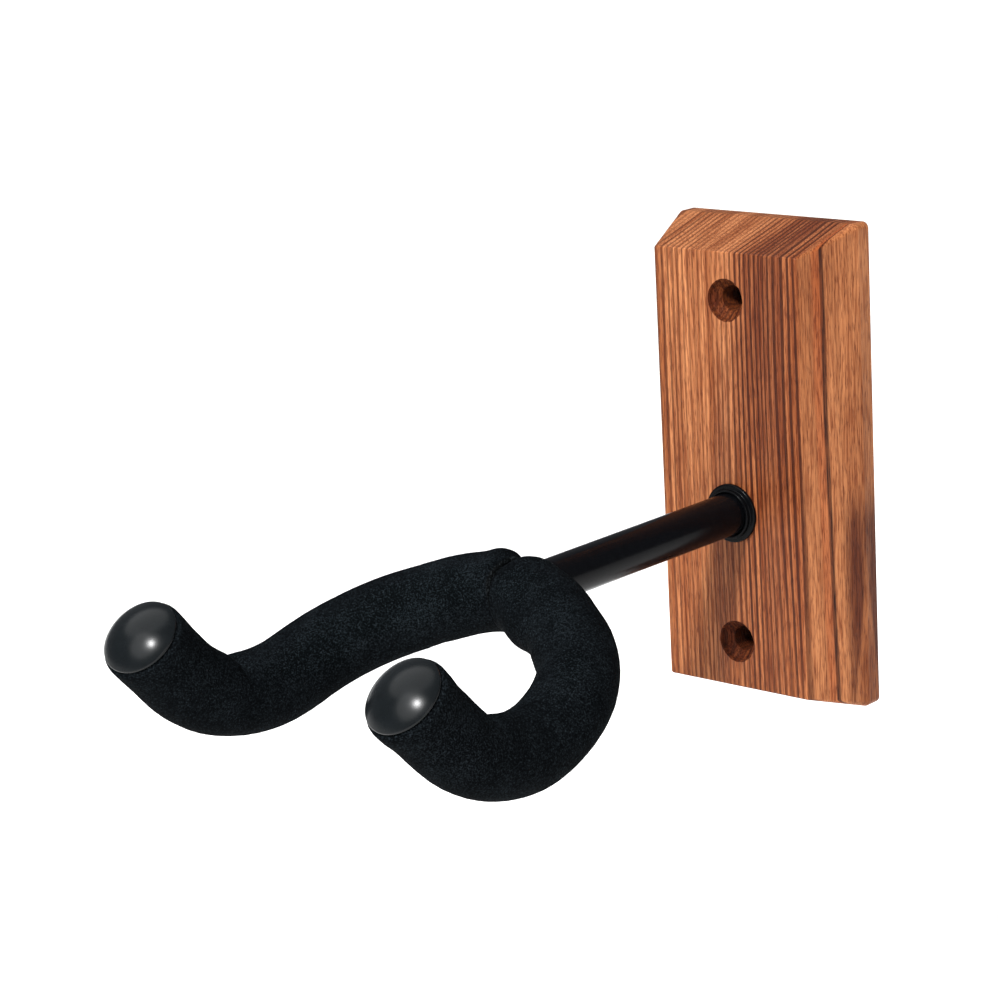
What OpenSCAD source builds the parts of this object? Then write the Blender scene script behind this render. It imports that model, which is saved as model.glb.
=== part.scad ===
// Wall guitar hanger: a bevelled wood block, a steel shaft that swivels in it,
// and a bent, foam-covered yoke that takes the neck just below the headstock.
// X runs right as seen from the room, -Y comes forward out of the wall, Z is up.
// The origin is on the wall plane, midway between the two screw holes.

/* [Wood block] */
// Height of the front face
face_height = 114.5; // [105:0.5:130]
// Width of the front face
face_width = 44.5; // [40:0.5:60]
// How far each bevel runs out from the front face to the square land
bevel_run = 6; // [3:0.5:8]
// Depth of the bevelled part, from the front face to the land
bevel_depth = 18.5; // [17:0.5:20]
// Depth of the square land that meets the wall
land_depth = 4.5; // [4:0.5:8]

/* [Screw holes] */
// Distance between the two wall screws
screw_pitch = 90; // [84:1:94]
// Through hole for each wall screw
screw_hole_d = 6.4; // [4.5:0.1:7]
// Mouth of each countersink at the front face
countersink_d = 10.4; // [9:0.1:12]
// Straight step above the countersink's cone
countersink_step = 1.2; // [0.5:0.1:3]

/* [Swivel] */
// How far the shaft's axis lies below the block's centre
shaft_drop = 10.5; // [8:0.5:14]
// Diameter of the steel shaft
shaft_d = 11; // [8:0.5:11]
// From the wall plane to the middle of the yoke's rod
shaft_reach = 109; // [90:1:130]
// Threaded tail of the shaft
tail_d = 8; // [7:1:8]
// Depth of the nut's pocket in the block's back
pocket_depth = 13; // [12.5:0.5:14]
// Diameter of the nut's pocket
pocket_d = 24; // [22:1:26]
// Outer diameter of both bushes
bush_d = 13; // [12.5:0.5:14]
// Flange of the front bush
bush_flange_d = 15.4; // [15:0.1:18]
// Radial running clearance of the shaft in its bushes
running_gap = 0.05; // [0.02:0.01:0.09]

/* [Yoke] */
// Diameter of the bent rod
rod_d = 10; // [8:0.5:11]
// Outer diameter of the foam sleeves
foam_d = 19.8; // [18:0.2:22]
// Height of the end caps' domes
cap_dome = 4.2; // [3:0.2:6]
// Outer diameter of the socket that each cap grips the rod with
cap_socket_d = 13; // [12:0.5:14]
// Length of that socket
cap_socket_length = 10; // [6:1:12]

/* [Yoke bends] */
// Middle bend: radius, angle of one side, and its roll below level forward
middle_bend = [30, 33.5, 30.5]; // [0:0.5:90]
// Straight stretch after the middle bend
root_straight = 8; // [2:0.5:12]
// Side bend that turns the arm forward: radius, angle, and roll from the bend before
side_bend = [37, 51, -14]; // [-90:0.5:90]
// Straight stretch between the side bend and the lift
arm_straight = 0.5; // [0.5:0.5:10]
// Lift that turns the tip up: radius, angle, and roll from the bend before
lift_bend = [34.5, 67.5, -76]; // [-90:0.5:90]
// Straight stretch from the lift to the end of the foam
tip_straight = 15; // [12:0.5:20]

/* [Hidden] */
$fn = 96;

block_depth = bevel_depth + land_depth;
slip = 0.05;             // gap between parts that are pushed or pressed together
past = 1;                // how far a cutting tool runs past the face it cuts

// Rear stack, measured forward from the wall plane
rear_flange_t = 1;
rear_flange_d = 18;
rear_barrel_l = 3;
washer_t = 1.6;
washer_d = 20;
tail_bore_d = tail_d + 0.4;
spring_t = 0.9;
spring_rise = 0.3;
spring_d = 16;
nut_h = 8;
nut_af = 13;
nut_collar_h = 1.5;
nut_collar_d = 11.8;
insert_h = 1.7;
insert_d = 10.3;
insert_mouth_d = 9.2;
nut_chamfer = 0.8;
nut_lip = 0.5;           // rolled edge of the collar behind its ring
tail_proud = 0.4;        // tail seen behind the nut
washer_front = pocket_depth - rear_flange_t - slip;
spring_front = washer_front - washer_t;
nut_front = spring_front - spring_t - spring_rise;
nut_back = nut_front - nut_h;
insert_back = nut_back + nut_lip;
tail_end = nut_back - tail_proud;
shoulder = pocket_depth + rear_barrel_l + slip;

// Front bush: flange and hub that stand proud of the front face
flange_t = 1.1;
hub_t = 1.3;
hub_edge = 0.4;

// Weld between the shaft and the yoke's rod
weld_length = 4;
weld_start_d = shaft_d + 1.2;
weld_end_d = shaft_d + 3;
weld_front = shaft_reach - rod_d / 2 + 1.5;
cope_trim = 2;           // keeps the cope's two horns off the rod
cope_gap = 0.1;

// Foam and caps
sleeve_gap = 0.2;        // half the gap between the two sleeves
cap_d = foam_d - 0.4;
cap_edge = 0.8;
cap_rise = cap_dome - cap_edge;
cap_sphere_r = (pow(cap_d / 2, 2) + pow(cap_rise, 2)) / (2 * cap_rise);
rod_end_gap = 0.3;

// Bends: distance between stations and sides round the rod and the foam
station_pitch = 3;
rod_sides = 24;
foam_sides = 32;

// ---------------------------------------------------------------- placing

// Puts a piece on the shaft's axis, its local +Z pointing forward out of the wall
module on_shaft(forward) {
    translate([0, -forward, -shaft_drop]) rotate([90, 0, 0]) children();
}

// Puts a piece on each screw's axis, its local +Z pointing forward out of the wall
module on_screws(forward) {
    for (side = [-1, 1])
        translate([0, -forward, side * screw_pitch / 2]) rotate([90, 0, 0]) children();
}

// Repeats a right-hand shape as its left-hand twin
module left_hand() {
    mirror([1, 0, 0]) children();
}

// ------------------------------------------------------- bending the yoke
// A station on the rod is [place, direction, inside of the bend, top mark]: the
// top mark is carried along without twist, so that rings of points stay in line.

function turned(v, axis, angle) =
    v * cos(angle) + cross(axis, v) * sin(angle) + axis * (axis * v) * (1 - cos(angle));

// The station reached by going straight on
function straight_on(s, length) = [s[0] + length * s[1], s[1], s[2], s[3]];

// The same place, with the inside of the next bend rolled about the rod
function rolled(s, roll) = [s[0], s[1], turned(s[2], s[1], roll), s[3]];

// The station reached by bending through an angle at a radius
function bent(s, radius, angle) =
    let (axis = cross(s[1], s[2]))
    [
        s[0] + radius * (sin(angle) * s[1] + (1 - cos(angle)) * s[2]),
        turned(s[1], axis, angle), turned(s[2], axis, angle), turned(s[3], axis, angle)
    ];

// Stations along a bend, after the first
function bend_stations(s, radius, angle) =
    let (steps = ceil(radius * angle * PI / 180 / station_pitch))
    [for (i = [1:steps]) bent(s, radius, angle * i / steps)];

root_station = [[0, -shaft_reach, -shaft_drop], [1, 0, 0], [0, -1, 0], [0, 0, 1]];
middle_start = rolled(root_station, middle_bend[2]);
middle_end = bent(middle_start, middle_bend[0], middle_bend[1]);
side_start = rolled(straight_on(middle_end, root_straight), side_bend[2]);
side_end = bent(side_start, side_bend[0], side_bend[1]);
lift_start = rolled(straight_on(side_end, arm_straight), lift_bend[2]);
lift_end = bent(lift_start, lift_bend[0], lift_bend[1]);
tip_station = straight_on(lift_end, tip_straight);

// Stations of the right arm from just off its middle to the start of its straight tip
arm_stations = concat(
    [middle_start],
    bend_stations(middle_start, middle_bend[0], middle_bend[1]),
    [side_start],
    bend_stations(side_start, side_bend[0], side_bend[1]),
    [lift_start],
    bend_stations(lift_start, lift_bend[0], lift_bend[1])
);

// One ring of points round a station
function ring(s, r, sides) = [
    for (k = [0:sides - 1]) let (turn = 360 * k / sides)
        s[0] + r * (cos(turn) * s[3] + sin(turn) * cross(s[1], s[3]))
];

// Quads that join rings a and b, each a run of points that starts at that index
function band(a, b, sides) = [
    for (k = [0:sides - 1]) let (next = (k + 1) % sides) [a + k, b + k, b + next, a + next]
];

// Closed solid through a loop of rings, each [station, radius]: the rings go out
// along the outside and back along the bore, and the last joins the first
module looped_tube(loop, sides) {
    count = len(loop);
    polyhedron(
        points = [for (one = loop) each ring(one[0], one[1], sides)],
        faces = [for (i = [0:count - 1]) each band(i * sides, ((i + 1) % count) * sides, sides)]
    );
}

// Closed solid bar through a row of stations
module bar(stations, r, sides) {
    count = len(stations);
    polyhedron(
        points = [for (s = stations) each ring(s, r, sides)],
        faces = concat(
            [[for (k = [0:sides - 1]) k]],
            [for (i = [0:count - 2]) each band(i * sides, (i + 1) * sides, sides)],
            [[for (k = [sides - 1:-1:0]) (count - 1) * sides + k]]
        )
    );
}

// The left arm's twin of a right-arm station, facing the same way along the rod
function twin(s) = [
    [-s[0][0], s[0][1], s[0][2]], [s[1][0], -s[1][1], -s[1][2]], s[2], [-s[3][0], s[3][1], s[3][2]]
];

// Puts a piece at the right arm's tip, its local +Z pointing outward along the rod
module on_tip() {
    place = tip_station[0];
    along = tip_station[1];
    up = tip_station[3];
    side = cross(up, along);
    multmatrix([for (k = [0:2]) [side[k], up[k], along[k], place[k]]]) children();
}

// ------------------------------------------------------------- base body

// Outline of a bevelled side: outer_w at the wall, inner_w at the front face
module bevel_outline(inner_w, outer_w) {
    polygon([
        [outer_w / 2, 0], [outer_w / 2, -land_depth], [inner_w / 2, -block_depth],
        [-inner_w / 2, -block_depth], [-outer_w / 2, -land_depth], [-outer_w / 2, 0]
    ]);
}

// Hardwood block: bevelled on four sides, drilled for two screws and the swivel
module wall_block() {
    outer_w = face_width + 2 * bevel_run;
    outer_h = face_height + 2 * bevel_run;
    color("peru") difference() {
        intersection() {
            translate([0, 0, -outer_h / 2]) linear_extrude(outer_h)
                bevel_outline(face_width, outer_w);
            translate([-outer_w / 2, 0, 0]) rotate([90, 0, 90]) linear_extrude(outer_w)
                rotate(-90) bevel_outline(face_height, outer_h);
        }
        on_shaft(-past) cylinder(h=block_depth + 2 * past, d=bush_d);
        on_shaft(-past) cylinder(h=pocket_depth + past, d=pocket_d);
        on_screws(-past) cylinder(h=block_depth + 2 * past, d=screw_hole_d);
        on_screws(block_depth - countersink_step) cylinder(h=countersink_step + past, d=countersink_d);
        on_screws(block_depth - countersink_step - (countersink_d - screw_hole_d) / 2)
            cylinder(h=(countersink_d - screw_hole_d) / 2, d1=screw_hole_d, d2=countersink_d);
    }
}

// Flanged nylon bush pressed into the front of the block, with a raised hub
module front_bush() {
    barrel_start = shoulder + slip;
    color("black") difference() {
        union() {
            on_shaft(barrel_start) cylinder(h=block_depth - barrel_start, d=bush_d - 2 * slip);
            on_shaft(block_depth) cylinder(h=flange_t, d=bush_flange_d);
            on_shaft(block_depth + flange_t) cylinder(h=hub_t - hub_edge, d=bush_d - 2 * slip);
            on_shaft(block_depth + flange_t + hub_t - hub_edge)
                cylinder(h=hub_edge, d1=bush_d - 2 * slip, d2=bush_d - 2 * slip - 2 * hub_edge);
        }
        on_shaft(0) cylinder(h=shaft_reach, d=shaft_d + 2 * running_gap);
    }
}

// Flanged nylon bush pressed in from the nut's pocket; its front face stops the
// shaft's shoulder, its flange takes the thrust of the washer
module rear_bush() {
    color("black") difference() {
        union() {
            on_shaft(pocket_depth) cylinder(h=rear_barrel_l, d=bush_d - 2 * slip);
            on_shaft(pocket_depth - rear_flange_t) cylinder(h=rear_flange_t, d=rear_flange_d);
        }
        on_shaft(0) cylinder(h=block_depth, d=tail_d + 2 * running_gap);
    }
}

// ------------------------------------------------------------- yoke body

// Steel shaft with a reduced tail for the nut, coped at its front to meet the rod
module shaft() {
    color("dimgray") difference() {
        union() {
            on_shaft(shoulder) cylinder(h=shaft_reach - cope_trim - shoulder, d=shaft_d);
            on_shaft(tail_end) cylinder(h=shoulder - tail_end, d=tail_d);
        }
        translate([-shaft_d, -shaft_reach, -shaft_drop]) rotate([0, 90, 0])
            cylinder(h=2 * shaft_d, d=rod_d + 2 * cope_gap);
    }
}

// Hard washer that slides on the rear bush
module thrust_washer() {
    color("silver") difference() {
        on_shaft(spring_front) cylinder(h=washer_t, d=washer_d);
        on_shaft(0) cylinder(h=block_depth, d=tail_bore_d);
    }
}

// Coned disc spring that keeps a steady drag on the swivel
module disc_spring() {
    inner_r = tail_bore_d / 2;
    outer_r = spring_d / 2;
    color("silver") on_shaft(nut_front) rotate_extrude() polygon([
        [inner_r, 0], [outer_r, spring_rise],
        [outer_r, spring_rise + spring_t], [inner_r, spring_t]
    ]);
}

// Hexagon lock nut: corners chamfered at the front, round collar at the back
module lock_nut() {
    hex_h = nut_h - nut_collar_h;
    corner_r = nut_af / 2 / cos(30);
    color("silver") difference() {
        union() {
            intersection() {
                on_shaft(nut_back + nut_collar_h) cylinder(h=hex_h, r=corner_r, $fn=6);
                on_shaft(nut_back + nut_collar_h)
                    cylinder(h=hex_h, r1=corner_r + hex_h - nut_chamfer, r2=corner_r - nut_chamfer);
            }
            on_shaft(nut_back) cylinder(h=nut_collar_h, d=nut_collar_d);
        }
        on_shaft(0) cylinder(h=block_depth, d=tail_d + 2 * slip);
        on_shaft(insert_back) cylinder(h=insert_h, d=insert_d);
        on_shaft(0) cylinder(h=insert_back + slip, d=insert_mouth_d);
    }
}

// Nylon ring that the nut's collar holds captive
module lock_nut_insert() {
    color("white") difference() {
        on_shaft(insert_back + slip) cylinder(h=insert_h - 2 * slip, d=insert_d - 2 * slip);
        on_shaft(0) cylinder(h=block_depth, d=tail_d + 2 * slip);
    }
}

// The bent rod, with the ring of weld that joins its middle to the shaft
module yoke_rod() {
    right_side = concat(arm_stations, [straight_on(lift_end, tip_straight - rod_end_gap)]);
    last = len(right_side) - 1;
    both_sides = concat([for (i = [last:-1:1]) twin(right_side[i])], right_side);
    color("dimgray") union() {
        bar(both_sides, rod_d / 2, rod_sides);
        difference() {
            on_shaft(weld_front - weld_length)
                cylinder(h=weld_length, d1=weld_start_d, d2=weld_end_d);
            on_shaft(0) cylinder(h=shaft_reach, d=shaft_d + 2 * slip);
        }
    }
}

// Foam tube pushed over one arm up to the shaft, opened out at its tip by the
// cap's socket, and relieved at its root for the shaft and the weld
module foam_sleeve() {
    outer_r = foam_d / 2;
    bore_r = rod_d / 2 + slip;
    socket_r = cap_socket_d / 2 + slip;
    socket_start = straight_on(lift_end, tip_straight - cap_socket_length - slip);
    sleeve = concat(
        [bent(middle_start, middle_bend[0], sleeve_gap * 180 / PI / middle_bend[0])],
        [for (i = [1:len(arm_stations) - 1]) arm_stations[i]]
    );
    last = len(sleeve) - 1;
    outside = concat([for (s = sleeve) [s, outer_r]], [[tip_station, outer_r]]);
    bore = concat(
        [[tip_station, socket_r], [socket_start, socket_r], [socket_start, bore_r]],
        [for (i = [last:-1:0]) [sleeve[i], bore_r]]
    );
    difference() {
        looped_tube(concat(outside, bore), foam_sides);
        on_shaft(shaft_reach - foam_d) cylinder(h=foam_d, d=shaft_d + 2 * slip);
        on_shaft(weld_front - weld_length - slip) cylinder(h=weld_length * 2, d=weld_end_d + 2 * slip);
    }
}

module foam_sleeve_right() {
    color("#202224") foam_sleeve();
}

module foam_sleeve_left() {
    color("#202224") left_hand() foam_sleeve();
}

// Moulded cap: a domed head that covers the foam's end, and a socket on the rod
module end_cap() {
    on_tip() {
        intersection() {
            translate([0, 0, slip]) cylinder(h=cap_dome, d=cap_d);
            translate([0, 0, slip + cap_dome - cap_sphere_r]) sphere(r=cap_sphere_r);
        }
        translate([0, 0, -cap_socket_length]) difference() {
            cylinder(h=cap_socket_length + slip, d=cap_socket_d);
            translate([0, 0, -past]) cylinder(h=cap_socket_length + past, d=rod_d + 2 * slip);
        }
    }
}

module end_cap_right() {
    color("#101112") end_cap();
}

module end_cap_left() {
    color("#101112") left_hand() end_cap();
}

wall_block();
front_bush();
rear_bush();
shaft();
thrust_washer();
disc_spring();
lock_nut();
lock_nut_insert();
yoke_rod();
foam_sleeve_left();
foam_sleeve_right();
end_cap_left();
end_cap_right();
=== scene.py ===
"""Looks of the wall guitar hanger: a bevelled hardwood block, a steel shaft that swivels in it,
and a bent yoke in foam sleeves. Metres, +Z up, -Y out of the wall, origin on the wall plane."""

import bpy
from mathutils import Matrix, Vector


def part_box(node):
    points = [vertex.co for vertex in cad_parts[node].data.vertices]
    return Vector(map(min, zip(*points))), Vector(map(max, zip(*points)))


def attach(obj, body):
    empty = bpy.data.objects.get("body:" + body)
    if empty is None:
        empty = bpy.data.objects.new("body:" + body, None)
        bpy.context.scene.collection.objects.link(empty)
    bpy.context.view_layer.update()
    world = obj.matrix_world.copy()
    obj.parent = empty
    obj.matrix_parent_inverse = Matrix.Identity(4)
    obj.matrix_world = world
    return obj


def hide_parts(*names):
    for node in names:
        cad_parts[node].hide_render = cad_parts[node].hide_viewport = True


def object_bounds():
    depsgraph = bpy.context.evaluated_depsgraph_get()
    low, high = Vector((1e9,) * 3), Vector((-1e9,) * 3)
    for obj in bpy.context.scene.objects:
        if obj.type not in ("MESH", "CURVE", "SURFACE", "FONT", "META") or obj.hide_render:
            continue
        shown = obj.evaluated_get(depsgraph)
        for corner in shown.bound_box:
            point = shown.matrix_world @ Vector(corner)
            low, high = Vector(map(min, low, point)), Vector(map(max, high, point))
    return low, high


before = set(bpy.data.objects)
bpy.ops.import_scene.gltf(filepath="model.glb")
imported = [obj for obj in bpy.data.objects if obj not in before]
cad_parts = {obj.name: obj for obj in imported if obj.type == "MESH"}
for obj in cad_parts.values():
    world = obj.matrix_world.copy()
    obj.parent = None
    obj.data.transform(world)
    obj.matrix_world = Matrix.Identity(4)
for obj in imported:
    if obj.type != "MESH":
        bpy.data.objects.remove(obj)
cad_box = [list(corner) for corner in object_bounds()]

# ---------------------------------------------------------------- studio
# A pale matt floor under soft light from a broad overhead bank and a fill at the
# right, with one compact lamp at the front left that puts the spark on the caps.

import math

import bmesh
import bpy
from mathutils import Matrix, Vector
from mathutils import noise as field

MM = 0.001


def linear(hex_code):
    """An sRGB hex colour as linear red, green, blue and alpha."""
    shares = [int(hex_code[i:i + 2], 16) / 255 for i in (1, 3, 5)]
    return [s / 12.92 if s <= 0.04045 else ((s + 0.055) / 1.055) ** 2.4 for s in shares] + [1.0]


def add_node(tree, kind, inputs=None, **settings):
    """Adds a node with its own settings; each input is a value or the socket that feeds it."""
    node = tree.nodes.new(kind)
    for name, value in settings.items():
        setattr(node, name, value)
    for name, value in (inputs or {}).items():
        if isinstance(value, bpy.types.NodeSocket):
            tree.links.new(value, node.inputs[name])
        else:
            node.inputs[name].default_value = value
    return node


def new_material(name, **shader_values):
    """A material with one principled shader, and that shader's tree."""
    material = bpy.data.materials.new(name)
    material.use_nodes = True
    shader = material.node_tree.nodes["Principled BSDF"]
    for socket, value in shader_values.items():
        shader.inputs[socket.replace("_", " ")].default_value = value
    return material, material.node_tree, shader


def aim(obj, place, target):
    """Puts a lamp at a place and turns it to shine at a target."""
    obj.location = place
    obj.rotation_mode = "QUATERNION"
    obj.rotation_quaternion = (Vector(target) - Vector(place)).to_track_quat("-Z", "Y")


scene = bpy.context.scene
scene.view_settings.view_transform = "Standard"

view_azimuth = math.radians(41.94)
view_elevation = math.radians(14.50)
view_roll = math.radians(-3.15)
view_distance = 800 * MM
view_slide_right = -74.76 * MM
view_slide_up = -7.93 * MM
back = Vector((
    math.sin(view_azimuth) * math.cos(view_elevation),
    -math.cos(view_azimuth) * math.cos(view_elevation),
    math.sin(view_elevation),
))
right = Vector((math.cos(view_azimuth), math.sin(view_azimuth), 0))
up = back.cross(right)
camera = bpy.data.objects.new("camera", bpy.data.cameras.new("camera"))
scene.collection.objects.link(camera)
camera.data.lens = 110.3
camera.data.clip_start = 0.01
camera.data.clip_end = 50
spin = Matrix((right, up, back)).transposed() @ Matrix.Rotation(view_roll, 3, "Z")
camera.matrix_world = Matrix.Translation(
    right * view_slide_right + up * view_slide_up + back * view_distance) @ spin.to_4x4()
scene.camera = camera

floor_drop = 110 * MM
floor_half = 7.0
floor_z = cad_box[0][2] - floor_drop
floor_mesh = bpy.data.meshes.new("studio_floor")
floor_mesh.from_pydata(
    [(x * floor_half, y * floor_half, floor_z) for x, y in ((-1, -1), (1, -1), (1, 1), (-1, 1))],
    [], [(0, 1, 2, 3)])
studio_floor = bpy.data.objects.new("studio_floor", floor_mesh)
scene.collection.objects.link(studio_floor)
# Uncoated paper: almost no gloss, and a faint unevenness in its white
matt_paper, tree, shader = new_material("matt_white_paper", Roughness=0.9, Specular_IOR_Level=0.1)
grain = add_node(tree, "ShaderNodeTexNoise", {"Scale": 3.0, "Detail": 2.0})
tone = add_node(tree, "ShaderNodeMix",
                {0: grain.outputs["Fac"], 6: linear("#F7F7F6"), 7: linear("#FBFBFA")},
                data_type="RGBA")
tree.links.new(tone.outputs[2], shader.inputs["Base Color"])
floor_mesh.materials.append(matt_paper)

room = bpy.data.worlds.new("studio_room")
scene.world = room
room.use_nodes = True
walls = room.node_tree.nodes["Background"]
walls.inputs["Color"].default_value = linear("#F4F7FF")
walls.inputs["Strength"].default_value = 0.2

# Each bank is a far source: where it shines from, its breadth in degrees, strength, colour
for name, source, breadth, strength, colour in (
    ("overhead_bank", (-0.45, -0.1, 1.0), 60, 1.9, "#FFFFFF"),
    ("right_fill", (1.0, -0.35, 0.20), 40, 1.7, "#FFFBF5"),
    ("front_bank", (-0.05, -0.80, 0.70), 44, 1.9, "#FFFFFF"),
):
    lamp = bpy.data.lights.new(name, "SUN")
    lamp.angle = math.radians(breadth)
    lamp.energy = strength
    lamp.color = linear(colour)[:3]
    bank = bpy.data.objects.new(name, lamp)
    scene.collection.objects.link(bank)
    aim(bank, source, (0, 0, 0))

spark = bpy.data.lights.new("compact_lamp", "AREA")
spark.shape = "DISK"
spark.size = 200 * MM
spark.energy = 40.0
spark_stand = bpy.data.objects.new("compact_lamp", spark)
scene.collection.objects.link(spark_stand)
aim(spark_stand, (0.24, -1.06, 1.04), (0, -0.19, 0))

# ------------------------------------------------------------ wall block
# A block of straight-grained hardwood, sawn so that its growth layers stand on edge in the
# front face. It is bevelled on four sides above a square land, drilled and counterbored,
# sanded until every edge is soft, and wiped with oil.


def eased(outline, looped=False, steps=5):
    """The points of an outline given as (x, y, radius) rows, each corner rounded to its radius."""
    points = []
    for i, (x, y, radius) in enumerate(outline):
        here = Vector((x, y))
        ends = not looped and i in (0, len(outline) - 1)
        if radius <= 0 or ends:
            points.append(here)
            continue
        before = here - Vector(outline[i - 1][:2])
        after = Vector(outline[(i + 1) % len(outline)][:2]) - here
        turn = before.angle(after)
        reach = min(radius * math.tan(turn / 2), before.length * 0.48, after.length * 0.48)
        radius = reach / math.tan(turn / 2)
        before.normalize()
        after.normalize()
        inward = (after - before * math.cos(turn)) / math.sin(turn)
        middle = here - before * reach + inward * radius
        for step in range(steps + 1):
            swing = turn * step / steps
            points.append(middle + radius * (before * math.sin(swing) - inward * math.cos(swing)))
    return points


def skin(name, rings, looped=False):
    """A closed mesh through rings of equally many points. A ring of one point closes an end,
    a larger end ring gets a face, and a looped skin joins its last ring to its first."""
    points, first = [], []
    for ring in rings:
        first.append(len(points))
        points.extend(ring)
    joins = list(zip(range(len(rings)), range(1, len(rings))))
    faces = []
    for a, b in joins + ([(len(rings) - 1, 0)] if looped else []):
        count = max(len(rings[a]), len(rings[b]))
        for k in range(count):
            n = (k + 1) % count
            side_a = [first[a] + k, first[a] + n] if len(rings[a]) > 1 else [first[a]]
            side_b = [first[b] + n, first[b] + k] if len(rings[b]) > 1 else [first[b]]
            faces.append(side_a + side_b)
    if not looped:
        for start, ring in ((first[0], rings[0]), (first[-1], rings[-1])):
            if len(ring) > 1:
                faces.append([start + k for k in range(len(ring))])
    mesh = bpy.data.meshes.new(name)
    mesh.from_pydata(points, [], faces)
    shell = bmesh.new()
    shell.from_mesh(mesh)
    bmesh.ops.recalc_face_normals(shell, faces=shell.faces)
    shell.to_mesh(mesh)
    shell.free()
    mesh.shade_smooth()
    piece = bpy.data.objects.new(name, mesh)
    scene.collection.objects.link(piece)
    return piece


def axis_forward(height):
    """The seat of a turned piece whose axis runs straight out of the wall at that height."""
    return Matrix(((1, 0, 0, 0), (0, 0, -1, 0), (0, 1, 0, height), (0, 0, 0, 1)))


def lathe(name, outline, seat, looped=True, sides=128, shape=None):
    """A turned piece from (along, radius) points in millimetres, placed by its seat. shape, if
    given, returns the radius for a place along the axis, the outline's radius and a turn."""
    rings = []
    for along, radius in outline:
        if radius < 1e-6:
            rings.append([seat @ Vector((0, 0, along * MM))])
            continue
        ring = []
        for k in range(sides):
            turn = 2 * math.pi * k / sides
            r = (shape(along, radius, turn) if shape else radius) * MM
            ring.append(seat @ Vector((r * math.cos(turn), r * math.sin(turn), along * MM)))
        rings.append(ring)
    return skin(name, rings, looped)


def cut_away(piece, cutter):
    """Takes the cutter's shape out of the piece for good; cut faces keep the cutter's material."""
    cut = piece.modifiers.new("cut", "BOOLEAN")
    cut.operation = "DIFFERENCE"
    cut.solver = "EXACT"
    cut.material_mode = "TRANSFER"
    cut.object = cutter
    shaped = bpy.data.meshes.new_from_object(
        piece.evaluated_get(bpy.context.evaluated_depsgraph_get()))
    piece.modifiers.clear()
    piece.data = shaped
    bpy.data.objects.remove(cutter)


def finished(piece, material, body, node):
    """Gives a piece its material, weighted normals and its body, and hides the CAD node that it
    stands for.
    """
    if not piece.data.materials:
        piece.data.materials.append(material)
    flats = piece.modifiers.new("flat_faces_lead", "WEIGHTED_NORMAL")
    flats.weight = 80
    flats.keep_sharp = True
    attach(piece, body)
    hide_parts(node)


block_low, block_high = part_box("wall_block")
block_w = (block_high.x - block_low.x) / MM
block_h = (block_high.z - block_low.z) / MM
block_depth = -block_low.y / MM
land_depth = 4.5                  # the square edge against the wall
bevel_run = 6.0                   # how far the front face stands in from the land
land_corner, front_corner = 1.7, 0.7
bevel_profile = eased([
    (0, 0.45, 0), (0, 0, 0.4), (0.2, 0, 0),
    (land_depth, 0, 1.6), (block_depth, bevel_run, 0.6), (block_depth, bevel_run + 1.2, 0),
])
corner_steps = 8
rings = []
for depth, inset in bevel_profile:
    radius = land_corner + (front_corner - land_corner) * min(inset / bevel_run, 1)
    half_w, half_h = block_w / 2 - inset, block_h / 2 - inset
    ring = []
    for corner, (sx, sz) in enumerate(((1, 1), (-1, 1), (-1, -1), (1, -1))):
        for step in range(corner_steps + 1):
            turn = math.pi / 2 * (corner + step / corner_steps)
            ring.append(MM * Vector((
                sx * (half_w - radius) + radius * math.cos(turn), -depth,
                sz * (half_h - radius) + radius * math.sin(turn),
            )))
    rings.append(ring)
block = skin("bevelled_wall_block", rings)

shaft_low, shaft_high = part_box("shaft")
shaft_z = (shaft_low.z + shaft_high.z) / 2
screw_pitch = 90.0
screw_r, mouth_r, mouth_depth, mouth_reach = 3.2, 5.2, 1.2, 3.2
pocket_depth, pocket_r, bush_seat_r = 13.0, 12.0, 6.5
on_shaft_axis = axis_forward(shaft_z)


def torn_mouth(along, radius, turn):
    """A drilled mouth is a little ragged in its outer 1.6 mm, most where the cutter leaves the
    fibres at the bottom."""
    near_front = max(0.0, (along - (block_depth - 1.6)) / 1.6)
    at_bottom = max(0.0, -math.sin(turn)) ** 3
    rag = field.noise(Vector((4 * math.cos(turn), 4 * math.sin(turn), along * 0.8)))
    return radius + near_front * (0.10 * rag + 0.16 * at_bottom * (1 + rag))


# Both bores have sanded mouths, and their cutters run on 1 mm past each face of the block
screw_bore = eased([
    (-1, 0, 0), (-1, screw_r + 0.8, 0), (0, screw_r + 0.25, 0.3), (0.4, screw_r, 0.4),
    (block_depth - mouth_reach, screw_r, 0.4), (block_depth - mouth_depth, mouth_r, 0.3),
    (block_depth - 0.35, mouth_r, 0.6), (block_depth, mouth_r + 0.25, 0.3),
    (block_depth + 1, mouth_r + 1.2, 0), (block_depth + 1, 0, 0),
], steps=4)
swivel_bore = eased([
    (-1, 0, 0), (-1, pocket_r + 1.2, 0), (0, pocket_r + 0.3, 0.4), (0.5, pocket_r, 0.4),
    (pocket_depth, pocket_r, 0.5), (pocket_depth, bush_seat_r, 0),
    (block_depth + 1, bush_seat_r, 0), (block_depth + 1, 0, 0),
], steps=4)


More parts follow.
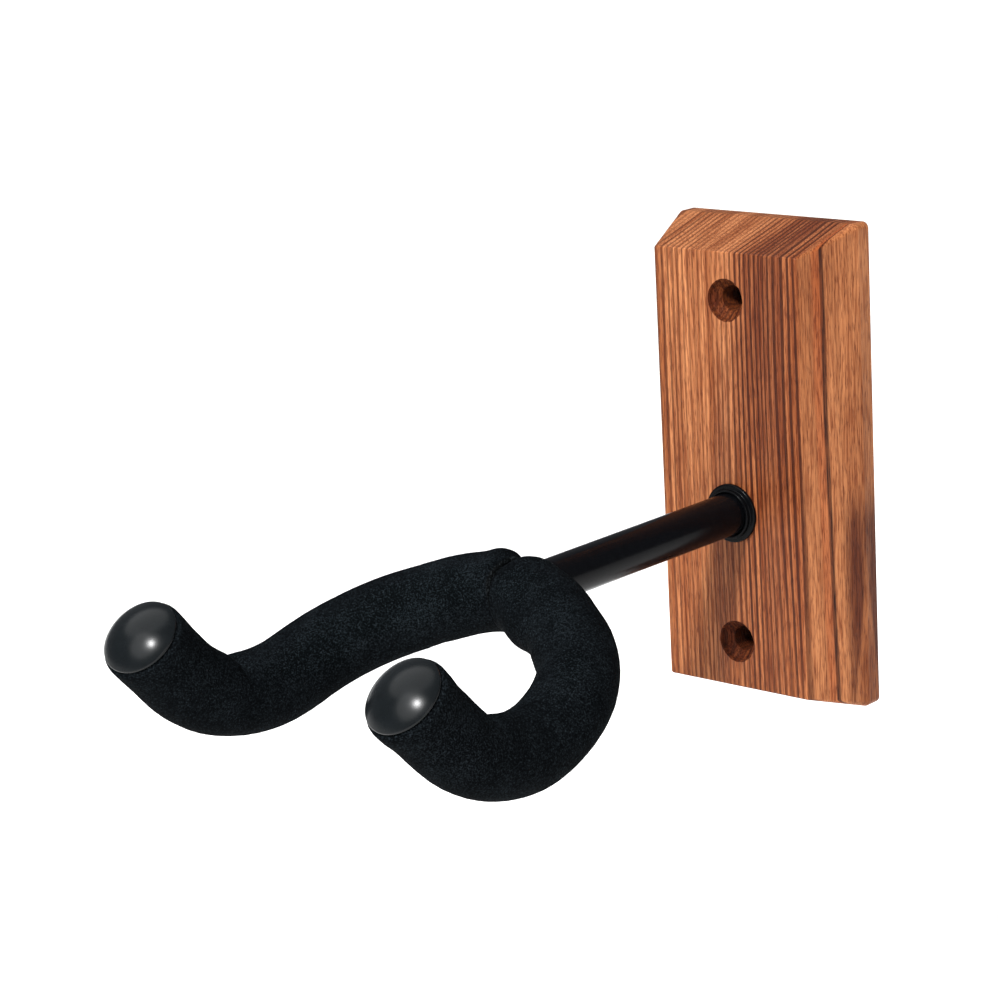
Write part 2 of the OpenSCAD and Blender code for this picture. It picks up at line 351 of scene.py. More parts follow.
def hardwood(name, roughness, pore_depth, shade):
    """Oiled hardwood: a tan ground with a dark line at the end of each year's growth, about
    1.6 mm apart, and short open pores. Thin oil leaves little gloss. shade darkens the colour:
    in the bores it is painted shade, over wood that is really rougher there, bored and not sanded."""
    material, tree, shader = new_material(name, IOR=1.47, Specular_IOR_Level=0.1)
    place = add_node(tree, "ShaderNodeTexCoord").outputs["Object"]

    def maths(operation, a, b=0.0, c=0.0):
        return add_node(tree, "ShaderNodeMath", {0: a, 1: b, 2: c}, operation=operation).outputs[0]

    def rise(value, low, high, to_low=0.0, to_high=1.0):
        """Goes smoothly from one value to another as value goes from low to high."""
        return add_node(tree, "ShaderNodeMapRange", {
            "Value": value, "From Min": low, "From Max": high, "To Min": to_low, "To Max": to_high,
        }, interpolation_type="SMOOTHSTEP").outputs[0]

    def grain(source, across, deep, along, **settings):
        """Noise with so many cells to the metre across, into and along the block."""
        spread = add_node(tree, "ShaderNodeVectorMath", {0: source, 1: (across, deep, along)},
                          operation="MULTIPLY")
        return add_node(tree, "ShaderNodeTexNoise",
                        {"Vector": spread.outputs[0], "Scale": 1.0, **settings}).outputs["Fac"]

    def mixed(kind, share, a, b):
        return add_node(tree, "ShaderNodeMix", {0: share, 6: a, 7: b},
                        data_type="RGBA", blend_type=kind).outputs[2]

    # The layers lean a few degrees and wander by about a millimetre over the block
    leant = add_node(tree, "ShaderNodeMapping", {"Vector": place, "Rotation": (0.0, 0.004, 0.09)})
    parts = add_node(tree, "ShaderNodeSeparateXYZ", {"Vector": leant.outputs[0]})
    drift = maths("SUBTRACT", grain(place, 12, 18, 9, Detail=2.0), 0.5)
    across = maths("MULTIPLY_ADD", drift, 1.8 * MM, parts.outputs["X"])
    marked = maths("MULTIPLY_ADD", drift, 0.9 * MM, parts.outputs["X"])
    grown = add_node(tree, "ShaderNodeCombineXYZ",
                     {"X": across, "Y": parts.outputs["Y"], "Z": parts.outputs["Z"]}).outputs[0]

    ground = grain(grown, 420, 30, 8, Detail=3.0, Roughness=0.6)
    broad = grain(grown, 95, 10, 6, Detail=1.0)
    tone = mixed("MIX", rise(ground, 0.33, 0.66), linear("#734022"), linear("#9B6540"))

    # Some years are purple-brown right through, and none of them reach the right side
    past_edge = rise(marked, 23.9 * MM, 24.9 * MM, 1.0, 0.12)
    purple = maths("MULTIPLY", rise(broad, 0.50, 0.66, 0.0, 0.4), past_edge)
    tone = mixed("MIX", purple, tone, linear("#4E2418"))

    # The right two fifths of the face grew more slowly and are darker
    dense = rise(marked, 1 * MM, 8 * MM, 0.6, 1.0)
    slow = maths("MULTIPLY", rise(dense, 0.6, 1.0), past_edge)
    tone = mixed("MULTIPLY", slow, tone, linear("#E5D8D0"))

    # One dark line per year; how many years lie in a centimetre changes slowly
    year = maths("MULTIPLY_ADD", across, 2 * math.pi / (1.6 * MM), maths("MULTIPLY", broad, 20.0))
    late_wood = rise(maths("SINE", year), -0.2, 0.8)
    fray = grain(grown, 2400, 2400, 110, Detail=2.0)
    patch = rise(grain(grown, 150, 16, 12, Detail=1.0), 0.35, 0.65, 0.7, 1.2)
    line = maths("MULTIPLY", maths("MULTIPLY", late_wood, dense),
                 maths("MULTIPLY", past_edge, patch))
    line = maths("MULTIPLY", line, rise(fray, 0.25, 0.6, 0.5, 1.0))
    tone = mixed("MIX", maths("MINIMUM", line, 0.95), tone, linear("#331408"))

    # A dark streak with a red edge, and dark heartwood low down at the back of the right side
    def layer_at(x, half_width):
        away = maths("ABSOLUTE", maths("SUBTRACT", marked, x))
        return rise(away, half_width, half_width * 0.35)

    tone = mixed("MIX", maths("MULTIPLY", layer_at(25.8 * MM, 0.5 * MM), 0.4), tone,
                 linear("#8A401C"))
    streak = maths("MULTIPLY", layer_at(26.15 * MM, 0.21 * MM), rise(fray, 0.3, 0.6, 0.4, 1.0))
    tone = mixed("MIX", streak, tone, linear("#2C1108"))
    # The heartwood ends in a pointed tongue of paler wood towards the bottom of the block
    low_back = maths("MULTIPLY", rise(marked, 26.8 * MM, 27.4 * MM),
                     rise(parts.outputs["Z"], -1 * MM, -16 * MM))
    tongue_half = maths("MULTIPLY_ADD", parts.outputs["Z"], -0.12, -3.0 * MM)
    from_tongue = maths("ABSOLUTE", maths("ADD", parts.outputs["Y"], 1.7 * MM))
    low_back = maths("MULTIPLY", low_back, rise(
        maths("SUBTRACT", from_tongue, tongue_half), -0.5 * MM, 0.7 * MM, 0.15, 1.0))
    heart = rise(grain(grown, 1700, 60, 12, Detail=2.0), 0.36, 0.58, 0.7, 1.0)
    tone = mixed("MIX", maths("MULTIPLY", maths("MULTIPLY", low_back, heart), 0.9),
                 tone, linear("#421C0E"))

    # Fibres 0.4 mm across and 9 mm long, and pores 0.3 mm across and 3 mm long
    fibre = mixed("MIX", rise(fray, 0.32, 0.62), linear("#B3968A"), linear("#FFFFFF"))
    tone = mixed("MULTIPLY", 0.85, tone, fibre)
    pores = grain(place, 3600, 3600, 330, Detail=2.0)
    open_pore = mixed("MIX", rise(pores, 0.50, 0.68), linear("#FFFFFF"), linear("#8A5A44"))
    tone = mixed("MULTIPLY", 0.6, tone, open_pore)
    # Painted shade: shade darkens the bored walls to stand for the shade inside the bores
    tone = mixed("MULTIPLY", 1.0, tone, linear(shade))
    tree.links.new(tone, shader.inputs["Base Color"])
    # Pores sink by pore_depth, and each dark line is a shallow ridge under the oil
    raised = maths("MULTIPLY_ADD", rise(pores, 0.68, 0.50), 0.6, maths("MULTIPLY", fray, 0.5))
    raised = maths("MULTIPLY_ADD", line, 0.4, raised)
    relief = add_node(tree, "ShaderNodeBump",
                      {"Height": raised, "Distance": pore_depth, "Strength": 1.0})
    tree.links.new(relief.outputs[0], shader.inputs["Normal"])
    worn = rise(fray, 0.3, 0.7, roughness + 0.08, roughness - 0.06)
    tree.links.new(worn, shader.inputs["Roughness"])
    return material


oiled_hardwood = hardwood("oiled_hardwood_sanded", 0.44, 0.07 * MM, "#FFFFFF")
# The bore walls: rougher with deeper pores, and a darker tone that is painted shade for the bores
bored_hardwood_painted_shade = hardwood("oiled_hardwood_bored_painted_shade", 0.7, 0.3 * MM, "#A38468")
block.data.materials.append(oiled_hardwood)
for number, (outline, seat, shape) in enumerate((
    (swivel_bore, on_shaft_axis, None),
    (screw_bore, axis_forward(screw_pitch / 2 * MM), torn_mouth),
    (screw_bore, axis_forward(-screw_pitch / 2 * MM), torn_mouth),
)):
    cutter = lathe("cutter_%d" % number, outline, seat, looped=False, shape=shape)
    cutter.data.materials.append(bored_hardwood_painted_shade)
    cut_away(block, cutter)
finished(block, oiled_hardwood, "base", "wall_block")

# ----------------------------------------------------------------- bushes
# Two moulded nylon bushes that the steel shaft turns in. The front one is pressed into the
# block up to its flange, with a hub that stands proud; the rear one comes in from the pocket.

# Nylon out of a polished mould: deep black, with a faint cloudiness about 2 mm across
black_nylon, tree, shader = new_material("black_nylon_moulded", IOR=1.45, Specular_IOR_Level=0.05)
place = add_node(tree, "ShaderNodeTexCoord").outputs["Object"]
cloud = add_node(tree, "ShaderNodeTexNoise", {"Vector": place, "Scale": 450.0, "Detail": 3.0})
tone = add_node(tree, "ShaderNodeMix",
                {0: cloud.outputs["Fac"], 6: linear("#030304"), 7: linear("#060708")},
                data_type="RGBA")
tree.links.new(tone.outputs[2], shader.inputs["Base Color"])
gloss = add_node(tree, "ShaderNodeMapRange",
                 {"Value": cloud.outputs["Fac"], "To Min": 0.15, "To Max": 0.26})
tree.links.new(gloss.outputs[0], shader.inputs["Roughness"])

shoulder = 16.05                  # how far in front of the wall the shaft's full width starts
flange_t, hub_t, flange_r, barrel_r, bore_r = 1.1, 1.3, 7.7, 6.45, 5.55
face = block_depth
hub_end = face + flange_t + hub_t
front_bush = lathe("front_bush_flanged", eased([
    (shoulder + 0.05, bore_r, 0.2), (shoulder + 0.05, barrel_r, 0.3), (face, barrel_r, 0),
    (face + 0.01, flange_r - 0.15, 0.1), (face + 0.2, flange_r, 0.3),
    (face + flange_t, flange_r, 0.55), (face + flange_t, barrel_r, 0.25), (hub_end, barrel_r, 0.5),
    (hub_end, bore_r + 0.35, 0.2), (hub_end - 0.35, bore_r, 0.2),
], looped=True), on_shaft_axis)
finished(front_bush, black_nylon, "base", "front_bush")

rear_bore_r, rear_flange_r, rear_barrel, rear_flange_t = 4.05, 9.0, 3, 1
rear_bush = lathe("rear_bush_flanged", eased([
    (pocket_depth + rear_barrel, rear_bore_r, 0.2), (pocket_depth + rear_barrel, barrel_r, 0.3),
    (pocket_depth, barrel_r, 0), (pocket_depth, rear_flange_r, 0.15),
    (pocket_depth - rear_flange_t, rear_flange_r, 0.3),
    (pocket_depth - rear_flange_t, rear_bore_r, 0.2),
], looped=True), on_shaft_axis)
finished(rear_bush, black_nylon, "base", "rear_bush")

# ------------------------------------------------------------------ shaft
# A cold-drawn steel bar that carries the yoke and swivels in the bushes. Its tail is turned
# down and threaded, and all of it in front of the shoulder is dipped in gloss black enamel.

# Dipped enamel dries to a glossy black skin with a ripple about 2 mm across and 0.01 mm deep
black_enamel, tree, shader = new_material(
    "black_enamel_on_steel", IOR=1.5, Specular_IOR_Level=0.065)
place = add_node(tree, "ShaderNodeTexCoord").outputs["Object"]
ripple = add_node(tree, "ShaderNodeTexNoise", {"Vector": place, "Scale": 520.0, "Detail": 2.0})
relief = add_node(tree, "ShaderNodeBump",
                  {"Height": ripple.outputs["Fac"], "Distance": 0.02 * MM, "Strength": 0.6})
tree.links.new(relief.outputs[0], shader.inputs["Normal"])
tone = add_node(tree, "ShaderNodeMix",
                {0: ripple.outputs["Fac"], 6: linear("#030304"), 7: linear("#060709")},
                data_type="RGBA")
tree.links.new(tone.outputs[2], shader.inputs["Base Color"])
haze = add_node(tree, "ShaderNodeMapRange",
                {"Value": ripple.outputs["Fac"], "To Min": 0.16, "To Max": 0.27})
tree.links.new(haze.outputs[0], shader.inputs["Roughness"])

shaft_r, tail_r = 5.5, 4.0
thread_pitch, thread_depth = 1.25, 0.55
thread_start, thread_end, thread_step = 0.75, 10.2, 0.125
thread_run_out = 0.8
rod_centre = 109.0                # from the wall to the middle of the yoke's rod


def threaded(along, radius, turn):
    """Cuts the tail's screw thread: a helix of vees that runs out at its front end."""
    if not thread_start <= along <= thread_end:
        return radius
    phase = (along / thread_pitch - turn / (2 * math.pi)) % 1
    vee = abs(2 * phase - 1)
    return radius - thread_depth * vee * min(1, (thread_end - along) / thread_run_out)


tail_chamfer, tail_chamfer_steps = 0.6, 4
tail = [(thread_start, 0), (thread_start, tail_r - tail_chamfer)]
for step in range(1, 76):
    cut_back = tail_chamfer * max(0, 1 - step / tail_chamfer_steps)
    tail.append((thread_start + thread_step * step, tail_r - cut_back))
shaft = lathe("swivel_shaft", tail + eased([
    (thread_end + 0.1, tail_r, 0), (shoulder, tail_r, 0.2), (shoulder, shaft_r, 0.4),
    (rod_centre - 5.2, shaft_r, 0.4), (rod_centre - 4.6, 0, 0),
]), on_shaft_axis, looped=False, shape=threaded)
finished(shaft, black_enamel, "yoke", "shaft")

# ---------------------------------------------------------- washer and nut
# What holds the shaft in the block: a ground washer on the rear bush, a coned spring that
# keeps a steady drag on the swivel, and a lock nut with a nylon ring in its collar.


def plated(name, pale, dark, roughness, specks):
    """Bare or plated steel: metallic, a little uneven, with the marks of tumbling in a barrel,
    so many specks to the metre."""
    material, tree, shader = new_material(name, Metallic=1.0)
    place = add_node(tree, "ShaderNodeTexCoord").outputs["Object"]
    marks = add_node(tree, "ShaderNodeTexNoise",
                     {"Vector": place, "Scale": specks, "Detail": 4.0, "Roughness": 0.65})
    tone = add_node(tree, "ShaderNodeMix",
                    {0: marks.outputs["Fac"], 6: linear(dark), 7: linear(pale)},
                    data_type="RGBA")
    tree.links.new(tone.outputs[2], shader.inputs["Base Color"])
    wear = add_node(tree, "ShaderNodeMapRange", {
        "Value": marks.outputs["Fac"], "To Min": roughness + 0.12, "To Max": roughness - 0.08})
    tree.links.new(wear.outputs[0], shader.inputs["Roughness"])
    relief = add_node(tree, "ShaderNodeBump",
                      {"Height": marks.outputs["Fac"], "Distance": 0.015 * MM, "Strength": 0.7})
    tree.links.new(relief.outputs[0], shader.inputs["Normal"])
    return material


zinc_plate = plated("zinc_plate_tumbled", "#C9CCD2", "#9EA3AA", 0.34, 900.0)
spring_steel = plated("spring_steel_tempered", "#7E7A74", "#57534F", 0.42, 700.0)

washer_front, spring_front, nut_front, nut_back = 11.95, 10.35, 9.15, 1.15
tail_bore_r, washer_r, spring_r, spring_t, spring_cone = 4.2, 10.0, 8.0, 0.9, 0.3
washer = lathe("thrust_washer_ground", eased([
    (spring_front, tail_bore_r, 0.15), (washer_front, tail_bore_r, 0.15),
    (washer_front, washer_r, 0.3), (spring_front, washer_r, 0.3),
], looped=True), on_shaft_axis)
finished(washer, zinc_plate, "yoke", "thrust_washer")

spring = lathe("disc_spring_coned", eased([
    (nut_front, tail_bore_r, 0.2), (nut_front + spring_cone, spring_r, 0.3),
    (nut_front + spring_cone + spring_t, spring_r, 0.3), (nut_front + spring_t, tail_bore_r, 0.2),
], looped=True), on_shaft_axis)
finished(spring, spring_steel, "yoke", "disc_spring")

nut_across_flats, nut_corner_r, nut_bore_r = 13.0, 7.51, 4.05
collar_h, collar_r = 1.5, 5.9
hex_back = nut_back + collar_h


def hexagon(along, radius, turn):
    """Trims the turned blank to six flats; the blank's cone leaves the curved corner chamfers."""
    if along < hex_back - 0.01 or radius < collar_r + 0.05:
        return radius
    from_flat = (turn + math.pi / 6) % (math.pi / 3) - math.pi / 6
    return min(radius, nut_across_flats / 2 / math.cos(from_flat))


blank = [(hex_back, 6.0), (hex_back, 6.3), (hex_back + 0.15, 6.7), (hex_back + 0.35, 7.05)]
blank += [(hex_back + 0.6, nut_corner_r)]
blank += [(nut_front - 0.7 + 0.1 * step, nut_corner_r - 0.13 * step) for step in range(8)]
lock_nut = lathe("lock_nut_hexagon", eased([
    (nut_front, 6.4, 0), (nut_front, nut_bore_r + 0.45, 0.2), (nut_front - 0.45, nut_bore_r, 0.2),
    (nut_back + 2.2, nut_bore_r, 0), (nut_back + 2.2, 5.15, 0), (nut_back + 0.5, 5.15, 0),
    (nut_back + 0.5, 4.6, 0.1), (nut_back, 4.6, 0.2), (nut_back, collar_r, 0.6),
    (hex_back - 0.02, collar_r, 0),
]) + blank, on_shaft_axis, shape=hexagon, sides=144)
finished(lock_nut, zinc_plate, "yoke", "lock_nut")

# Undyed nylon is milky: a little light goes in and comes out again nearby
natural_nylon, tree, shader = new_material(
    "natural_nylon_ring", IOR=1.53, Roughness=0.38, Subsurface_Weight=0.25,
    Subsurface_Scale=0.6 * MM)
place = add_node(tree, "ShaderNodeTexCoord").outputs["Object"]
milky = add_node(tree, "ShaderNodeTexNoise", {"Vector": place, "Scale": 900.0, "Detail": 2.0})
tone = add_node(tree, "ShaderNodeMix",
                {0: milky.outputs["Fac"], 6: linear("#CFC9BA"), 7: linear("#E6E2D8")},
                data_type="RGBA")
tree.links.new(tone.outputs[2], shader.inputs["Base Color"])
insert = lathe("lock_nut_nylon_ring", eased([
    (nut_back + 0.55, nut_bore_r, 0.25), (nut_back + 0.55, 5.1, 0.15),
    (nut_back + 2.15, 5.1, 0.15), (nut_back + 2.15, nut_bore_r, 0.15),
], looped=True), on_shaft_axis)
finished(insert, natural_nylon, "yoke", "lock_nut_insert")

# --------------------------------------------------------------- yoke rod
# One steel rod, bent into a shallow yoke whose ends turn up, and welded at its middle to the
# end of the shaft. A station on it is its place, direction, inside of the bend and top mark.


def turned(v, axis, angle):
    """The vector turned about an axis by an angle in radians."""
    return Matrix.Rotation(angle, 3, axis) @ v


def straight_on(station, length):
    """The station reached by going straight on for a length in millimetres."""
    return (station[0] + length * station[1],) + station[1:]


def rolled(station, roll):
    """The station rolled about its own direction by an angle in degrees."""
    return station[:2] + (turned(station[2], station[1], math.radians(roll)), station[3])


def bent(station, radius, angle):
    """The station reached by bending through an angle, in radians, at a radius in millimetres."""
    place, along, inside, top = station
    axis = along.cross(inside)
    return (place + radius * (math.sin(angle) * along + (1 - math.cos(angle)) * inside),
            turned(along, axis, angle), turned(inside, axis, angle), turned(top, axis, angle))


# Each bend is its radius, its angle and how far the plane of bending is rolled beforehand, and
# goes with the straight length after it
middle_bend, root_straight = (30, 33.5, 30.5), 8
side_bend, arm_straight = (37, 51, -14), 0.5
lift_bend, tip_straight = (34.5, 67.5, -76), 15
root = (Vector((0, -rod_centre, shaft_z / MM)),
        Vector((1, 0, 0)), Vector((0, -1, 0)), Vector((0, 0, 1)))
stretches = []                    # start station, length, bend radius or 0
start = root
for (radius, angle, roll), after in (
    (middle_bend, root_straight), (side_bend, arm_straight), (lift_bend, tip_straight)
):
    start = rolled(start, roll)
    swing = math.radians(angle)
    stretches.append((start, radius * swing, radius))
    start = bent(start, radius, swing)
    stretches.append((start, after, 0))
    start = straight_on(start, after)
arm_length = sum(length for _, length, _ in stretches)


def smooth(low, high, value):
    """0 below low, 1 above high, and an even rise between them."""
    share = min(max((value - low) / (high - low), 0.0), 1.0)
    return share * share * (3 - 2 * share)


# The bender left the left tip a little wider than the right
left_spread = Vector((-0.8, 0, -0.3))


def arm_station(s, hand=1):
    """The station at s millimetres from the yoke's middle, on the right arm or its left twin."""
    from_middle = s
    for number, (start, length, radius) in enumerate(stretches):
        if s <= length or number == len(stretches) - 1:
            here = bent(start, radius, s / radius) if radius else straight_on(start, s)
            place, along, inside, top = (Vector((hand * v.x, v.y, v.z)) for v in here)
            if hand < 0:
                place = place + left_spread * smooth(50, 110, from_middle)
            return place, along, inside, top
        s -= length


def ring_round(station, sides, radius_at):
    """Points round a station; radius_at takes each point's direction out of the rod."""
    place, along, _, top = station
    side = along.cross(top)
    ring = []
    for k in range(sides):
        turn = 2 * math.pi * k / sides
        out = math.cos(turn) * top + math.sin(turn) * side
        ring.append((place + radius_at(out) * out) * MM)
    return ring


rod_r, rod_sides, rod_end_gap = 5.0, 48, 0.3
ring_pitch, end_chamfer = 1.5, 0.5
rod_end = arm_length - rod_end_gap
rod_rings = []
for hand in (-1, 1):
    marks = [i * ring_pitch for i in range(1, int(rod_end / ring_pitch))]
    marks += [rod_end - end_chamfer, rod_end]
    for s in marks:
        drawn_in = end_chamfer if s == rod_end else 0
        place, along, inside, top = arm_station(s, hand)
        station = (place, hand * along, inside, top)
        rod_rings.append((hand * s, ring_round(station, rod_sides, lambda out: rod_r - drawn_in)))
rod_rings.sort(key=lambda row: row[0])
yoke_rod = skin("yoke_rod_bent", [ring for _, ring in rod_rings])
finished(yoke_rod, black_enamel, "yoke", "yoke_rod")

weld_start, weld_end, weld_bore_r, weld_r = 101.5, 105.5, 5.52, 6.95


def weld_ripple(along, radius, turn):
    """The scalloped ripples of a weld run, about 1.6 mm from one to the next."""
    if radius < weld_bore_r + 0.28:
        return radius
    return radius + 0.14 * math.sin(24 * turn + 5 * abs(math.sin(turn)))


weld = lathe("weld_run", eased([
    (weld_start, weld_bore_r, 0), (weld_start + 0.1, 5.9, 0.3), (weld_start + 1.6, 6.6, 2.0),
    (weld_end - 0.4, weld_r, 0.8), (weld_end, 6.4, 0.3), (weld_end, weld_bore_r, 0),
], looped=True), on_shaft_axis, shape=weld_ripple, sides=160)
finished(weld, black_enamel, "yoke", "yoke_rod")

# ----------------------------------------------------------- foam sleeves
# A tube of closed-cell rubber foam over each arm, cut square at both ends and pushed together
# over the weld. It wrinkles on the inside of each tight bend and gapes where the two tubes meet.

# Rubber foam: dead matt, with an extruded skin whose fine pits are drawn 0.26 mm apart so that
# they show, and with larger open cells, 0.5 mm apart, where it was cut
foams = {}
for name, roughness, pit, wall, cell, depth in (
    ("rubber_foam_extruded_skin", 0.92, "#030405", "#21272B", 0.26 * MM, 0.09 * MM),
    ("rubber_foam_cut_cells", 0.96, "#0A0C0D", "#34393C", 0.5 * MM, 0.18 * MM),
):
    foams[name], tree, shader = new_material(
        name, IOR=1.45, Roughness=roughness, Specular_IOR_Level=0.01)
    place = add_node(tree, "ShaderNodeTexCoord").outputs["Object"]
    cells = add_node(tree, "ShaderNodeTexVoronoi", {"Vector": place, "Scale": 1 / cell},
                     feature="SMOOTH_F1")
    blotch = add_node(tree, "ShaderNodeTexNoise",
                      {"Vector": place, "Scale": 1 / (0.5 * MM), "Detail": 3.0, "Roughness": 0.75})
    speckle = add_node(tree, "ShaderNodeMath",
                       {0: cells.outputs["Distance"], 1: 0.6, 2: blotch.outputs["Fac"]},
                       operation="MULTIPLY_ADD")
    # Patches about 7 mm across where the skin stretched and its cells lie more open
    patches = add_node(tree, "ShaderNodeTexNoise", {"Vector": place, "Scale": 1 / (7 * MM)})
    least = add_node(tree, "ShaderNodeMapRange", {
        "Value": patches.outputs["Fac"], "From Min": 0.3, "From Max": 0.7,
        "To Min": 0.78, "To Max": 0.68})
    share = add_node(tree, "ShaderNodeMapRange", {
        "Value": speckle.outputs[0], "From Min": least.outputs[0], "From Max": 1.3})
    tone = add_node(tree, "ShaderNodeMix", {0: share.outputs[0], 6: linear(pit), 7: linear(wall)},
                    data_type="RGBA")
    tree.links.new(tone.outputs[2], shader.inputs["Base Color"])
    relief = add_node(tree, "ShaderNodeBump",
                      {"Height": speckle.outputs[0], "Distance": depth, "Strength": 0.8})
    tree.links.new(relief.outputs[0], shader.inputs["Normal"])

foam_sides, foam_pitch = 120, 0.7
foam_bore_r, socket_r, socket_length = 5.05, 6.55, 10.05
root_s = 0.15                     # half of the seam between the two tubes
end_round = 1.3
# The two tubes differ a little. The right one is 1, the left one is -1
foam_r = {1: 9.6, -1: 9.95}
crease_at = {1: 88.5, -1: 82.0}
gape = {1: 0.15, -1: 1.2}


def bump_at(distance, width):
    """A smooth rise to 1 at no distance that dies away over the width."""
    return math.exp(-(distance / width) ** 2)


def wrinkle_at(distance, width):
    """A rise to a sharp 1 at no distance that dies away over the width."""
    return math.exp(-abs(distance) / width)


def foam_radius(s, station, out, hand):
    """The foam's outer radius at s, in the direction out: the plain tube, then what the bends,
    the cut ends and the unevenness of the foam add to it or take from it."""
    place, along, inside, top = station
    radius = foam_r[hand]
    # The cap's socket swells the foam at the tip
    radius += (10.1 - radius) * smooth(arm_length - 9, arm_length - 3, s)
    pinch = smooth(0.25, 0.98, out.dot(inside))
    # A sharp wrinkle inside the lift bend, and two slighter ones inside the side bend
    radius -= pinch * (2.1 * wrinkle_at(s - crease_at[hand], 2.4)
                       + 0.8 * wrinkle_at(s - 22.5, 2.4) + 0.5 * wrinkle_at(s - 40.0, 2.6))
    # On the right the foam bridges the inside of the bends, on the left it is pressed in
    if hand > 0:
        radius += pinch * (1.4 * bump_at(s - 12.0, 6.5) + 0.3 * bump_at(s - 31.0, 5.0)
                           - 0.7 * bump_at(s, 4.0))
    else:
        radius -= 1.3 * pinch * bump_at(s - 2.0, 10.0)
    # The cut end at the middle swells on top and is drawn in at its rim
    upward = smooth(0.25, 0.95, out.dot(Vector((0, 0.25, 1)).normalized()))
    if hand > 0:
        radius += upward * (0.65 * bump_at(s - 5.0, 2.6) - 1.1 * (1 - smooth(0.2, 2.8, s)))
    else:
        radius += upward * (0.9 * bump_at(s - 3.8, 2.4) - 1.1 * (1 - smooth(0.6, 2.2, s)))
    radius -= (1 - upward) * 0.12 * (1 - smooth(0.2, 1.0, s))
    # The square end at the cap has a worn edge
    worn = smooth(arm_length - end_round, arm_length + 0.1, s)
    radius -= end_round * (1 - math.sqrt(1 - worn ** 2))
    spot = (place + radius * out) * 0.09
    radius += 0.10 * field.noise(spot + Vector((5.1 * hand, 0, 0)))
    radius += 0.055 * field.noise(spot * 6) + 0.035 * field.noise(spot * 16)
    return radius


def gaped(ring, s, hand):
    """The ring with the seam's own shape: a wave that both tubes share, and on top the gape
    between them. Both die away within 5 mm of the seam."""
    place, along, _, _ = arm_station(s, hand)
    fade = (1 - smooth(0, 5, s)) * MM
    moved = []
    for point in ring:
        upness = smooth(-4.0 * MM, 9.0 * MM, point.z - place.z * MM)
        wave = 0.45 * field.noise(Vector((0, point.y, point.z)) / (4 * MM))
        moved.append(point + along * (gape[hand] * upness * fade) + Vector((wave * fade, 0, 0)))
    return moved


for hand, side_name in ((1, "right"), (-1, "left")):

    def foam_ring(s, radius_at):
        return ring_round(arm_station(s, hand), foam_sides, radius_at)

    # Along the outside to the tip, over the cut end, and back through the socket and the bore
    count = int((arm_length - root_s) / foam_pitch)
    marks = [root_s + (arm_length - root_s) * i / count for i in range(count + 1)]
    rings = []
    for s in marks:
        station = arm_station(s, hand)
        rings.append(gaped(foam_ring(s, lambda out: foam_radius(s, station, out, hand)), s, hand))
    cut_from = len(rings) - 1
    for radius in (8.3, 7.4, socket_r):
        rings.append(foam_ring(arm_length, lambda out: radius))
    socket_floor = arm_length - socket_length
    rings.append(foam_ring(socket_floor, lambda out: socket_r))
    rings.append(foam_ring(socket_floor, lambda out: foam_bore_r))
    for s in marks[::-4]:
        if 2 < s < socket_floor - 1:
            rings.append(foam_ring(s, lambda out: foam_bore_r))
    for radius in (foam_bore_r, 6.0, 7.0, 7.9):
        cut_end = foam_ring(root_s, lambda out: radius + 0.06 * field.noise(out * 9))
        rings.append(gaped(cut_end, root_s, hand))
    sleeve = skin("foam_sleeve_%s_arm" % side_name, rings, looped=True)
    for foam in foams.values():
        sleeve.data.materials.append(foam)
    for number, polygon in enumerate(sleeve.data.polygons):
        polygon.material_index = int(number // foam_sides >= cut_from)

    # The tube's end is hollowed where it meets the shaft and its weld
    hollow = lathe("hollow_for_shaft", eased([
        (80, 0, 0), (80, 5.6, 0), (weld_start - 0.6, 5.6, 0.2), (weld_start, 6.1, 0.4),
        (weld_end - 1, weld_r + 0.2, 0.4), (weld_end + 0.2, weld_r + 0.2, 0.4),
        (weld_end + 0.2, 0, 0),
    ]), on_shaft_axis, looped=False, sides=96)
    hollow.data.materials.append(foams["rubber_foam_cut_cells"])
    cut_away(sleeve, hollow)
    finished(sleeve, foams["rubber_foam_extruded_skin"], "yoke",
             "foam_sleeve_%s" % side_name)

# --------------------------------------------------------------- end caps
# A moulded vinyl cap in the end of each sleeve: a shallow dome that covers the foam's cut end,
# on a socket that grips the rod. The mould was polished, so the dome has a soft gloss.

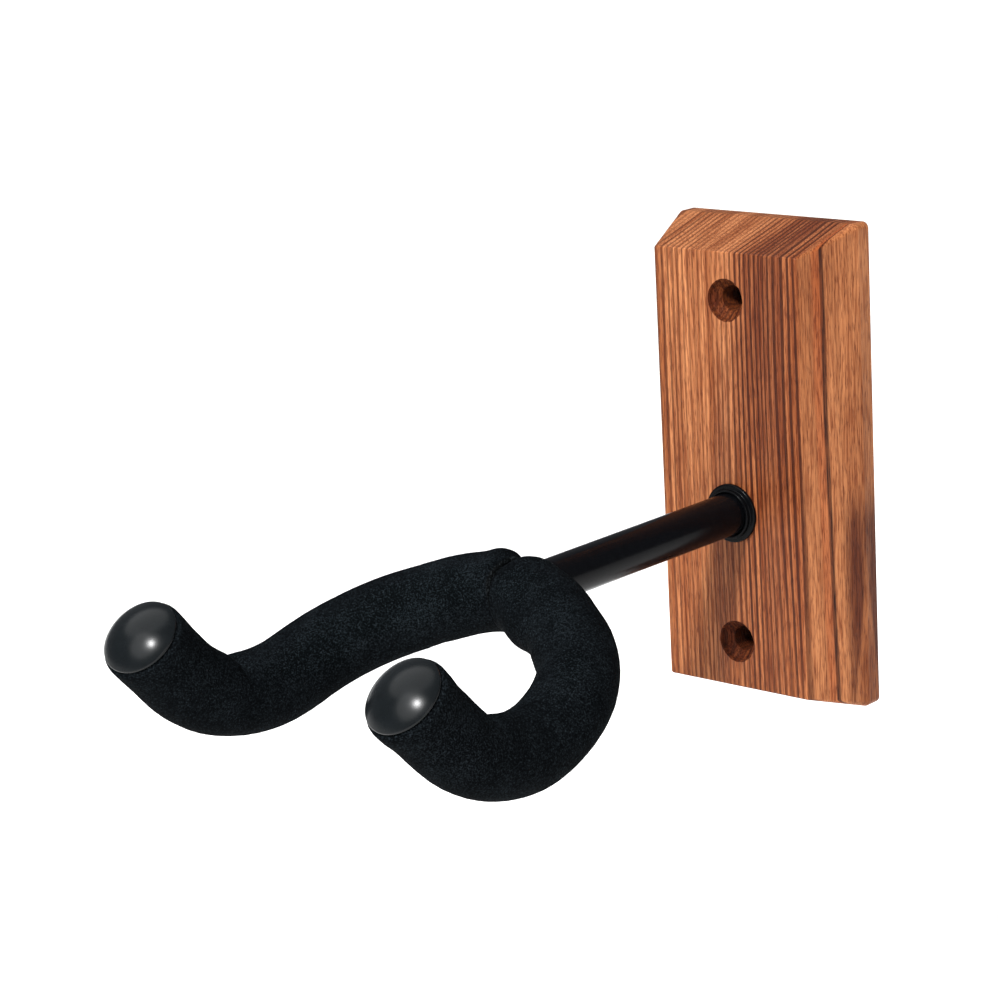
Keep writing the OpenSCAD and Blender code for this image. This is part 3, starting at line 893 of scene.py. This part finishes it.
# Soft vinyl: near black, with a faint bloom a few millimetres across
black_vinyl, tree, shader = new_material("black_vinyl_moulded", IOR=1.45, Specular_IOR_Level=0.13)
place = add_node(tree, "ShaderNodeTexCoord").outputs["Object"]
bloom = add_node(tree, "ShaderNodeTexNoise",
                 {"Vector": place, "Scale": 260.0, "Detail": 5.0, "Roughness": 0.6})
tone = add_node(tree, "ShaderNodeMix",
                {0: bloom.outputs["Fac"], 6: linear("#07090A"), 7: linear("#0E1113")},
                data_type="RGBA")
tree.links.new(tone.outputs[2], shader.inputs["Base Color"])
gloss = add_node(tree, "ShaderNodeMapRange",
                 {"Value": bloom.outputs["Fac"], "To Min": 0.19, "To Max": 0.28})
tree.links.new(gloss.outputs[0], shader.inputs["Roughness"])
# Fine mould texture, about 0.3 mm from grain to grain
fine = add_node(tree, "ShaderNodeTexNoise",
                {"Vector": place, "Scale": 1 / (0.3 * MM), "Detail": 2.0})
relief = add_node(tree, "ShaderNodeBump",
                  {"Height": fine.outputs["Fac"], "Distance": 0.008 * MM, "Strength": 0.6})
tree.links.new(relief.outputs[0], shader.inputs["Normal"])

cap_r, cap_edge, cap_dome, cap_socket_r, cap_bore_r = 9.4, 0.7, 4.2, 6.5, 5.05
cap_back = 0.05                   # the flange stands this far off the foam's cut end
socket_mouth = 0.1 - socket_length
dome_rise = cap_dome - cap_edge
dome_sphere_r = (cap_r ** 2 + dome_rise ** 2) / (2 * dome_rise)
edge_angle = math.asin(cap_r / dome_sphere_r)
dome_steps = 22
dome = []
for step in range(2, dome_steps):
    slope = edge_angle * (1 - step / dome_steps)
    height = dome_sphere_r * (math.cos(slope) - math.cos(edge_angle))
    dome.append((cap_back + cap_edge + height, dome_sphere_r * math.sin(slope)))
# From the socket's floor, down its bore, up its outside, over the flange and up the dome
cap_outline = [(-cap_back, 0), (-cap_back, cap_bore_r)] + eased([
    (-2.0, cap_bore_r, 0), (socket_mouth + 0.5, cap_bore_r, 0.3), (socket_mouth, 5.5, 0.2),
    (socket_mouth, cap_socket_r, 0.4), (cap_back, cap_socket_r, 0.2),
    (cap_back, cap_r - 0.2, 0.3), (cap_back + 0.3, cap_r, 0.2),
    (cap_back + cap_edge, cap_r, 0.9), dome[0] + (0,),
]) + dome[1:] + [(cap_back + cap_dome, 0)]
for hand, side_name in ((1, "right"), (-1, "left")):
    place, along, _, top = arm_station(arm_length, hand)
    seat = Matrix((top.cross(along), top, along)).transposed().to_4x4()
    seat.translation = place * MM
    end_cap = lathe("end_cap_%s_dome" % side_name, cap_outline, seat, looped=False)
    finished(end_cap, black_vinyl, "yoke", "end_cap_%s" % side_name)
